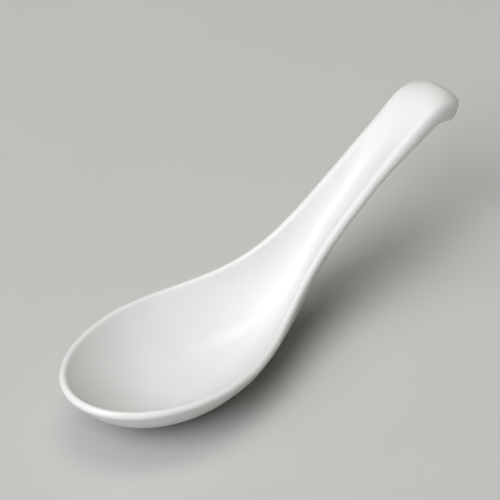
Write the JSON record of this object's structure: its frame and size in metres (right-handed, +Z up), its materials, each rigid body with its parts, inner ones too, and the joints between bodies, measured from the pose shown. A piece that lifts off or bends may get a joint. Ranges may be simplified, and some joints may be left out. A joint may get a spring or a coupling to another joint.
{
  "type": "soup spoon",
  "caption": "Porcelain soup spoon: a deep egg-shaped bowl on a flat foot runs into a channelled handle that rises at the back and turns down at its thick, flared end",
  "frame": {"origin": "the middle of the flat foot's face, on the table that the spoon stands on", "axes": "+X runs from the front of the bowl towards the end of the handle, +Y to the left of that, +Z up from the table"},
  "size_m": [0.1344, 0.0448, 0.054],
  "materials": {
    "biscuit_porcelain": "fired bare, matt and slightly rough",
    "clear_glaze": "smooth and glossy, cool white"
  },
  "bodies": {
    "root": {"porcelain_body": "biscuit_porcelain", "glaze_coat": "clear_glaze"}
  },
  "joints": []
}
